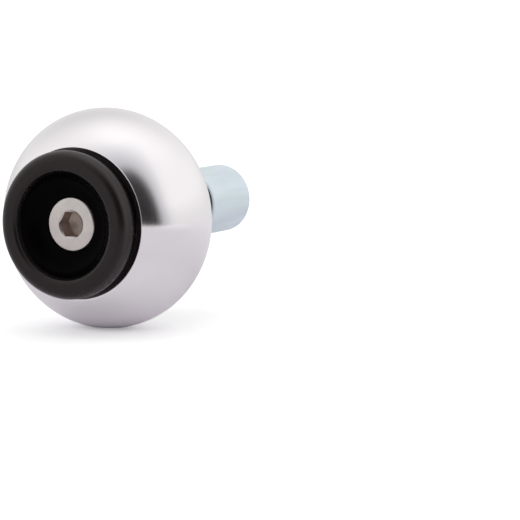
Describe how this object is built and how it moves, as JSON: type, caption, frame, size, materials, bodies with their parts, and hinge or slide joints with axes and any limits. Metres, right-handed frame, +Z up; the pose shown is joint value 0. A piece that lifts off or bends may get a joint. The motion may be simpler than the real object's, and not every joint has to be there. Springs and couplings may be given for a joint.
{
  "type": "bar end weight",
  "caption": "Crowned aluminium ball with a dished black front cap, held by a long cap screw to a rubber sleeve and nut that grip the bore of a handlebar.",
  "frame": {"origin": "on the axis, in the plane of the ball's rear face, where it seats on the end of the bar", "axes": "+Y along the axis, from the ball into the bar; the dished cap faces -Y; +Z up"},
  "size_m": [0.0542, 0.0778, 0.0542],
  "materials": {
    "ball_body": "fine turned, then polished to a satin shine",
    "end_cap": "satin black",
    "clamp_screw": "plain stainless steel",
    "expander_sleeve": "matt black rubber",
    "clamp_nut": "bright zinc plated"
  },
  "bodies": {
    "root": {"ball_body": "ball_body", "end_cap": "end_cap", "clamp_screw": "clamp_screw", "expander_sleeve": "expander_sleeve", "clamp_nut": "clamp_nut"}
  },
  "joints": []
}
